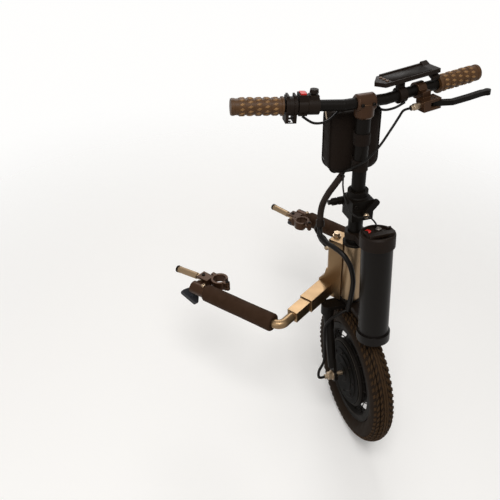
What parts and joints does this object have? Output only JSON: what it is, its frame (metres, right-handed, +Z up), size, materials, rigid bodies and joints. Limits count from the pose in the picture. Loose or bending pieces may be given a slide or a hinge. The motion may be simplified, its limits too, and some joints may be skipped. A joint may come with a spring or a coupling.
{
  "type": "wheelchair power assist",
  "caption": "Front add-on drive unit for a manual wheelchair: steered hub-motor wheel, tubular battery, folding handlebar column and clamp-on docking frame with padded arms.",
  "frame": {"origin": "midway between the two chair clamps, at the centre height of their rings", "axes": "+X ahead, +Y to the rider's left, +Z up; the steering axis leans back by 7.2 degrees and the wheel stands turned to the right"},
  "size_m": [0.6206, 0.4888, 0.9207],
  "materials": {
    "silver_aluminium": "satin",
    "black_powder_coat": "satin",
    "black_plastic": "moulded",
    "grip_rubber": "ribbed",
    "arm_foam": "closed cell foam",
    "tyre_rubber": "treaded",
    "cable_jacket": "smooth",
    "braided_sleeve": "braided",
    "zinc_steel": "zinc plated",
    "disc_steel": "ground",
    "motor_alloy": "black anodised",
    "stator_iron": "wound",
    "cell_steel": "wrapped",
    "battery_shell": "gloss",
    "red_plastic": "gloss",
    "bag_fabric": "woven nylon"
  },
  "bodies": {
    "frame": {"main_post": "silver_aluminium", "head_tube": "silver_aluminium", "bearing_cups": "zinc_steel", "cross_beam": "silver_aluminium", "frame_bolts": "zinc_steel", "controller_plug": "black_plastic"},
    "right_side": {"right_arm": "silver_aluminium", "right_foam": "arm_foam", "right_clamp": "black_powder_coat"},
    "left_side": {"left_arm": "silver_aluminium", "left_foam": "arm_foam", "left_clamp": "black_powder_coat"},
    "right_jaw_body": {"right_jaw": "black_powder_coat"},
    "left_jaw_body": {"left_jaw": "black_powder_coat"},
    "right_lever_body": {"right_lock_lever": "silver_aluminium"},
    "left_lever_body": {"left_lock_lever": "silver_aluminium"},
    "right_knob_body": {"right_wing_knob": "black_plastic"},
    "left_knob_body": {"left_wing_knob": "black_plastic"},
    "steerer": {"fork": "black_powder_coat", "crown_plate": "silver_aluminium", "column_base": "black_powder_coat", "fold_pin": "black_powder_coat", "battery_cradle": "black_plastic", "axle": "zinc_steel", "motor_stator": "stator_iron", "brake_caliper": "black_powder_coat", "motor_cable": "cable_jacket", "fork_conduit": "cable_jacket", "control_conduit": "braided_sleeve"},
    "caliper_arm_body": {"caliper_arm": "disc_steel"},
    "wheel": {"tyre": "tyre_rubber", "rim": "motor_alloy", "spokes": "disc_steel", "motor_shell": "motor_alloy", "motor_covers": "motor_alloy", "brake_disc": "disc_steel"},
    "battery": {"battery_case": "battery_shell", "battery_cap": "black_plastic", "battery_cells": "cell_steel"},
    "battery_button_body": {"battery_button": "red_plastic"},
    "battery_handle_body": {"battery_handle": "black_plastic"},
    "column": {"column_tube": "black_powder_coat", "column_hinge": "black_powder_coat", "stem": "black_powder_coat", "handlebar": "black_powder_coat", "right_grip": "grip_rubber", "left_grip": "grip_rubber", "brake_lever_body": "black_plastic", "throttle_body": "black_plastic", "switch_housing": "black_plastic", "display_bracket": "black_plastic", "bag": "bag_fabric", "bar_leads": "cable_jacket", "brake_cable": "cable_jacket"},
    "latch_body": {"latch_lever": "black_powder_coat"},
    "brake_lever_blade": {"brake_lever": "black_powder_coat"},
    "throttle_paddle": {"throttle_lever": "black_plastic"},
    "red_button_body": {"red_button": "red_plastic"},
    "knob_button_body": {"knob_button": "black_plastic"},
    "display_body": {"display": "black_plastic"}
  },
  "joints": [
    {"name": "right_arm_slide", "type": "slide", "parent": "frame", "child": "right_side", "axis": [0, -1, 0], "range_m": [-0.03, 0.04]},
    {"name": "right_jaw_hinge", "type": "hinge", "parent": "right_side", "child": "right_jaw_body", "pos_m": [0.02629, -0.174, 0.00332], "axis": [0.1253, 0, -0.9921], "range_deg": [0, 70]},
    {"name": "right_lock_lever_hinge", "type": "hinge", "parent": "right_side", "child": "right_lever_body", "pos_m": [-0.04167, -0.188, -0.00526], "axis": [0.1253, 0, -0.9921], "range_deg": [0, 75]},
    {"name": "right_wing_knob_turn", "type": "hinge", "parent": "right_side", "child": "right_knob_body", "pos_m": [-0.03539, -0.22051, -0.02138], "axis": [-0.6112, -0.0493, -0.7899], "continuous": true},
    {"name": "left_arm_slide", "type": "slide", "parent": "frame", "child": "left_side", "axis": [0, 1, 0], "range_m": [-0.03, 0.04]},
    {"name": "left_jaw_hinge", "type": "hinge", "parent": "left_side", "child": "left_jaw_body", "pos_m": [0.02629, 0.174, 0.00332], "axis": [-0.1253, 0, 0.9921], "range_deg": [0, 70]},
    {"name": "left_lock_lever_hinge", "type": "hinge", "parent": "left_side", "child": "left_lever_body", "pos_m": [-0.04167, 0.188, -0.00526], "axis": [-0.1253, 0, 0.9921], "range_deg": [0, 75]},
    {"name": "left_wing_knob_turn", "type": "hinge", "parent": "left_side", "child": "left_knob_body", "pos_m": [-0.03539, 0.22051, -0.02138], "axis": [-0.6112, 0.0493, -0.7899], "continuous": true},
    {"name": "steering", "type": "hinge", "parent": "frame", "child": "steerer", "pos_m": [0.2731, 0, 0.01636], "axis": [-0.1253, 0, 0.9921], "range_deg": [-11.5, 78.5], "deforming": ["fork_conduit", "control_conduit"]},
    {"name": "wheel_spin", "type": "hinge", "parent": "steerer", "child": "wheel", "pos_m": [0.34096, -0.0276, -0.18815], "axis": [0.5476, 0.8339, 0.0692], "continuous": true},
    {"name": "caliper_arm_turn", "type": "hinge", "parent": "steerer", "child": "caliper_arm_body", "pos_m": [0.31998, 0.0462, -0.14545], "axis": [0.5476, 0.8339, 0.0692], "range_deg": [0, 24]},
    {"name": "battery_lift", "type": "slide", "parent": "steerer", "child": "battery", "axis": [-0.2041, 0.0529, 0.9775], "range_m": [0, 0.06], "deforming": ["brake_cable"]},
    {"name": "battery_button_press", "type": "slide", "parent": "battery", "child": "battery_button_body", "axis": [0.2041, -0.0529, -0.9775], "range_m": [0, 0.002], "stiffness_N_per_m": 300, "springref_m": -0.001},
    {"name": "battery_handle_turn", "type": "hinge", "parent": "battery", "child": "battery_handle_body", "pos_m": [0.32474, -0.05498, 0.27037], "axis": [-0.5476, -0.8339, -0.0692], "range_deg": [0, 90]},
    {"name": "column_fold", "type": "hinge", "parent": "steerer", "child": "column", "pos_m": [0.21888, 0.0149, 0.26593], "axis": [-0.5476, -0.8339, -0.0692], "range_deg": [0, 75], "deforming": ["control_conduit", "brake_cable"]},
    {"name": "latch_turn", "type": "hinge", "parent": "steerer", "child": "latch_body", "pos_m": [0.26969, -0.01344, 0.26328], "axis": [-0.8273, 0.5519, -0.1045], "range_deg": [0, 100]},
    {"name": "brake_lever_pull", "type": "hinge", "parent": "column", "child": "brake_lever_blade", "pos_m": [0.31038, 0.10145, 0.49662], "axis": [-0.1618, -0.0742, 0.984], "range_deg": [0, 15], "stiffness_Nm_per_rad": 2, "springref_deg": -5.73},
    {"name": "throttle_push", "type": "hinge", "parent": "column", "child": "throttle_paddle", "pos_m": [0.11935, -0.11748, 0.49299], "axis": [-0.6507, -0.7593, 0.0015], "range_deg": [0, 30], "stiffness_Nm_per_rad": 0.3, "springref_deg": -8.59},
    {"name": "red_button_press", "type": "slide", "parent": "column", "child": "red_button_body", "axis": [0.0715, -0.0633, -0.9954], "range_m": [0, 0.002], "stiffness_N_per_m": 300, "springref_m": -0.001},
    {"name": "knob_button_press", "type": "slide", "parent": "column", "child": "knob_button_body", "axis": [0.0715, -0.0633, -0.9954], "range_m": [0, 0.002], "stiffness_N_per_m": 300, "springref_m": -0.001},
    {"name": "display_tilt", "type": "hinge", "parent": "column", "child": "display_body", "pos_m": [0.24717, 0.06661, 0.52729], "axis": [0.4328, 0.8908, 0.1384], "range_deg": [-15, 15]}
  ],
  "couplings": [
    {"joint": "caliper_arm_turn", "follows": "brake_lever_pull", "ratio": 1.6}
  ]
}
